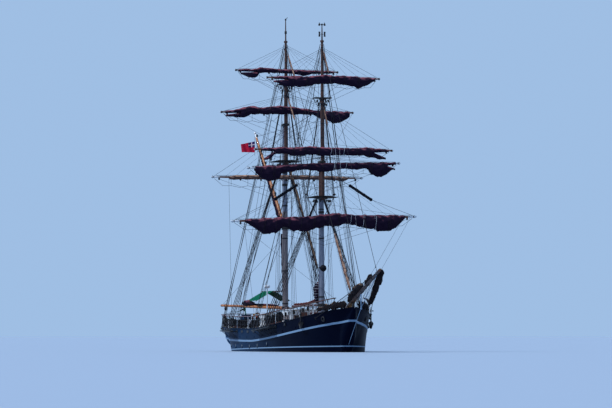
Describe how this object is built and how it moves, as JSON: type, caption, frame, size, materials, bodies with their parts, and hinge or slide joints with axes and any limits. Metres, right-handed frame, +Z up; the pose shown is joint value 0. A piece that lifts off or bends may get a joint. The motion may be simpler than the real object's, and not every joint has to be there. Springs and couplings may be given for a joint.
{
  "type": "two-masted brig",
  "caption": "Two-masted square-rigged sailing ship lying at anchor, all her tan sails furled, with a dark hull, a long bowsprit, an awning and an ensign.",
  "frame": {"origin": "amidships on the waterline, on the centreline", "axes": "+X to the bow, +Y to port, +Z up"},
  "size_m": [39.2239, 13.3976, 27.1189],
  "materials": {
    "hull_paint": "gloss",
    "bronze": "satin",
    "grey_paint": "satin",
    "dark_wood": "oiled",
    "varnish": "gloss",
    "tan_sail": "matt",
    "red_bunting": "matt",
    "white_paint": "gloss",
    "galvanised": "dull",
    "tarred_rope": "matt",
    "black_paint": "satin",
    "green_canvas": "matt"
  },
  "bodies": {
    "hull": {"hull": "hull_paint", "stern_frame": "hull_paint", "fore_lower_mast": "grey_paint", "fore_topmast": "dark_wood", "main_lower_mast": "dark_wood", "main_topmast": "dark_wood", "bowsprit": "varnish", "dolphin_striker": "white_paint", "bowsprit_guy_port": "galvanised", "bowsprit_guy_starboard": "galvanised", "fore_shrouds_port": "tarred_rope", "fore_shrouds_starboard": "tarred_rope", "main_shrouds_port": "tarred_rope", "main_shrouds_starboard": "tarred_rope", "main_stay": "tan_sail", "main_topmast_stay": "tan_sail", "main_topgallant_stay": "tan_sail", "fore_stay": "tan_sail", "fore_topmast_stay": "tan_sail", "fore_topgallant_stay": "tan_sail", "inner_jib_furled": "tan_sail", "middle_jib_furled": "tan_sail", "outer_jib_furled": "tan_sail", "anchor_ball": "black_paint", "main_rail_port": "varnish", "fore_rail_port": "varnish", "main_rail_starboard": "varnish", "fore_rail_starboard": "varnish", "midship_house": "white_paint", "aft_house": "white_paint", "aft_skylight": "grey_paint", "windlass": "black_paint", "anchor_port": "black_paint", "anchor_starboard": "black_paint", "awning_ridge": "varnish", "awning": "green_canvas", "helm_pedestal": "varnish"},
    "rudder": {"rudder": "hull_paint"},
    "propeller": {"propeller": "bronze"},
    "helm": {"helm_wheel": "varnish"},
    "fore_course_yard": {"fore_course_yard": "varnish", "fore_course_sail_furled": "tan_sail"},
    "fore_lower_topsail_yard": {"fore_lower_topsail_yard": "varnish", "fore_lower_topsail_sail_furled": "tan_sail"},
    "fore_upper_topsail_yard": {"fore_upper_topsail_yard": "varnish", "fore_upper_topsail_sail_furled": "tan_sail"},
    "fore_topgallant_yard": {"fore_topgallant_yard": "varnish", "fore_topgallant_sail_furled": "tan_sail"},
    "main_lower_yard": {"main_lower_yard": "varnish", "main_lower_sail_furled": "tan_sail"},
    "main_topsail_yard": {"main_topsail_yard": "varnish", "main_topsail_sail_furled": "tan_sail"},
    "main_topgallant_yard": {"main_topgallant_yard": "varnish", "main_topgallant_sail_furled": "tan_sail"},
    "main_boom": {"main_boom": "varnish"},
    "gaff": {"gaff": "varnish", "spanker_furled": "tan_sail", "ensign": "red_bunting"},
    "fore_boom": {"fore_boom": "varnish", "fore_trysail_furled": "tan_sail"}
  },
  "joints": [
    {"name": "rudder_turn", "type": "hinge", "parent": "hull", "child": "rudder", "pos_m": [-13.33, 0, 0], "axis": [0, 0, 1], "range_deg": [-35, 35]},
    {"name": "propeller_spin", "type": "hinge", "parent": "hull", "child": "propeller", "pos_m": [-12.64, 0, -1.65], "axis": [1, 0, 0], "continuous": true},
    {"name": "helm_turn", "type": "hinge", "parent": "hull", "child": "helm", "pos_m": [-13.535, 0, 2.42], "axis": [1, 0, 0], "range_deg": [-720, 720]},
    {"name": "fore_course_brace", "type": "hinge", "parent": "hull", "child": "fore_course_yard", "pos_m": [6.90328, 0, 9.33649], "axis": [-0.0175, 0, 0.9998], "range_deg": [-35, 35]},
    {"name": "fore_lower_topsail_brace", "type": "hinge", "parent": "hull", "child": "fore_lower_topsail_yard", "pos_m": [6.83783, 0, 13.08592], "axis": [-0.0175, 0, 0.9998], "range_deg": [-35, 35]},
    {"name": "fore_upper_topsail_brace", "type": "hinge", "parent": "hull", "child": "fore_upper_topsail_yard", "pos_m": [6.81864, 0, 14.18575], "axis": [-0.0175, 0, 0.9998], "range_deg": [-35, 35]},
    {"name": "fore_topgallant_brace", "type": "hinge", "parent": "hull", "child": "fore_topgallant_yard", "pos_m": [6.73015, 0, 19.25498], "axis": [-0.0175, 0, 0.9998], "range_deg": [-35, 35]},
    {"name": "main_lower_brace", "type": "hinge", "parent": "hull", "child": "main_lower_yard", "pos_m": [-4.25449, 0, 12.64598], "axis": [-0.0175, 0, 0.9998], "range_deg": [-35, 35]},
    {"name": "main_topsail_brace", "type": "hinge", "parent": "hull", "child": "main_topsail_yard", "pos_m": [-4.33756, 0, 17.40526], "axis": [-0.0175, 0, 0.9998], "range_deg": [-35, 35]},
    {"name": "main_topgallant_brace", "type": "hinge", "parent": "hull", "child": "main_topgallant_yard", "pos_m": [-4.39027, 0, 20.4248], "axis": [-0.0175, 0, 0.9998], "range_deg": [-35, 35]},
    {"name": "main_boom_swing", "type": "hinge", "parent": "hull", "child": "main_boom", "pos_m": [-4.52897, 0, 3.15975], "axis": [-0.0175, 0, 0.9998], "range_deg": [-41, 19]},
    {"name": "gaff_swing", "type": "hinge", "parent": "hull", "child": "gaff", "pos_m": [-4.63054, 0, 8.97886], "axis": [-0.0175, 0, 0.9998], "range_deg": [-37, 19]},
    {"name": "fore_boom_swing", "type": "hinge", "parent": "hull", "child": "fore_boom", "pos_m": [6.56859, 0, 3.29973], "axis": [-0.0175, 0, 0.9998], "range_deg": [-30, 30]}
  ],
  "couplings": [
    {"joint": "helm_turn", "follows": "rudder_turn", "ratio": -20.5}
  ]
}
